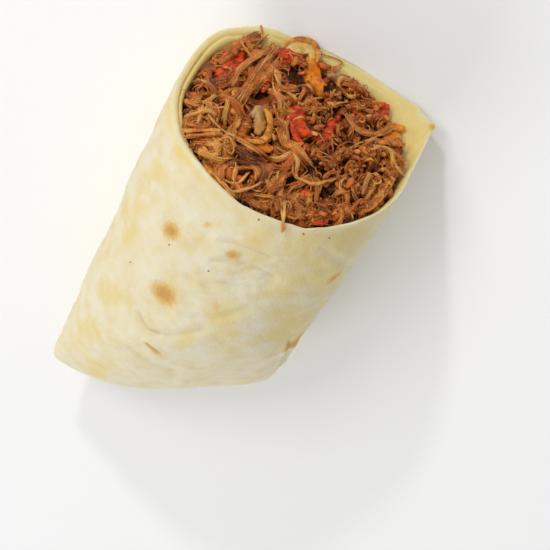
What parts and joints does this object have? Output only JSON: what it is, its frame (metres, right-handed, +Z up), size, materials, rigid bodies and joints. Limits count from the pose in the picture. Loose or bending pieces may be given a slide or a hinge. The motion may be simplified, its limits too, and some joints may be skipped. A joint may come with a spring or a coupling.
{
  "type": "burrito half",
  "caption": "Half of a burrito cut on the bias, lying on its seam: a rolled flour tortilla packed with shredded meat, with bits of red and orange pepper and onion in the cut.",
  "frame": {"origin": "middle of the footprint, on the flat underside that the half rests on", "axes": "+Z up from the surface it lies on; +Y from the cut towards the folded end; +X to the right when looking at the cut"},
  "size_m": [0.0685, 0.1141, 0.0619],
  "materials": {
    "tortilla": "soft matte flour tortilla, pale cream with small toasted spots",
    "meat": "moist shredded meat, reddish brown fibres with a low sheen",
    "red_pepper": "glossy cooked red pepper",
    "orange_pepper": "glossy cooked orange pepper",
    "onion": "glossy cooked onion, translucent amber"
  },
  "bodies": {
    "root": {"tortilla": "tortilla", "filling": "meat", "red_pepper_upper_right": "red_pepper", "red_pepper_low": "red_pepper", "red_pepper_middle": "red_pepper", "red_pepper_left_of_middle": "red_pepper", "red_pepper_left": "red_pepper", "orange_pepper_strip": "orange_pepper", "orange_pepper_left": "orange_pepper", "orange_pepper_right": "orange_pepper", "onion_low": "onion", "onion_over_the_rim": "onion", "onion_right_of_middle": "onion"}
  },
  "joints": []
}
